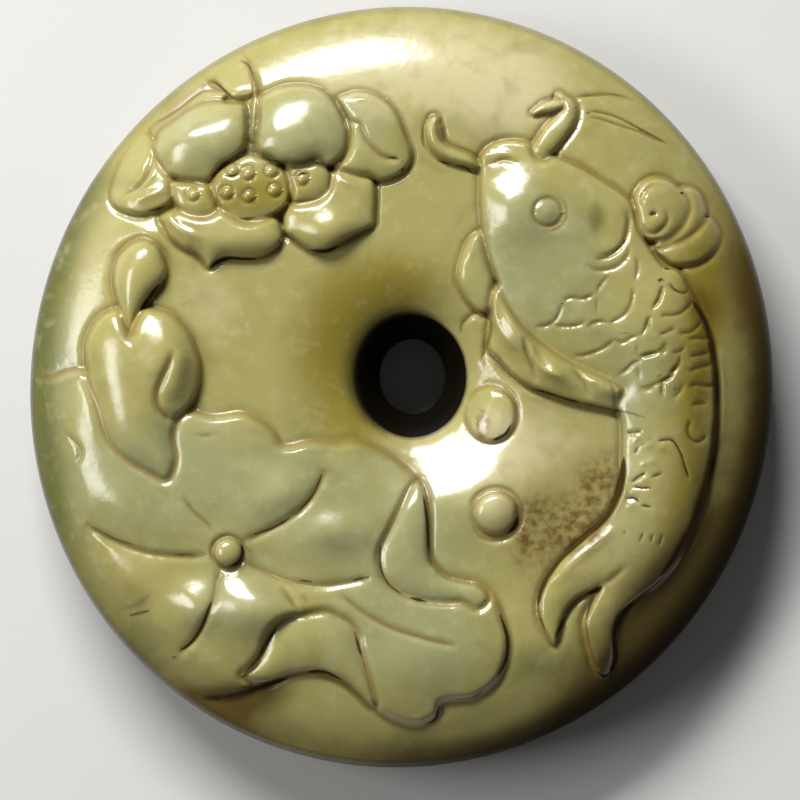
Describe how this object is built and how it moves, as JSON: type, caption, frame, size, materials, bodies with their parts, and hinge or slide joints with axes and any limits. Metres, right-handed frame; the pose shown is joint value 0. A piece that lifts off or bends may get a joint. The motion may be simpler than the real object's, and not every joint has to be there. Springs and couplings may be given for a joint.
{
  "type": "carved jade disc",
  "caption": "Domed round disc of polished jade with a central hole, carved in low relief with a lotus flower, leaves and a carp.",
  "frame": {"origin": "centre of the bounding box, on the plane the disc rests on", "axes": "+Z out of the carved face, +Y towards the head of the design, where the lotus flower and the head of the carp are"},
  "size_m": [0.0576, 0.059, 0.012],
  "materials": {
    "jade": "high polish, slightly translucent"
  },
  "bodies": {
    "root": {"jade_disc": "jade"}
  },
  "joints": []
}
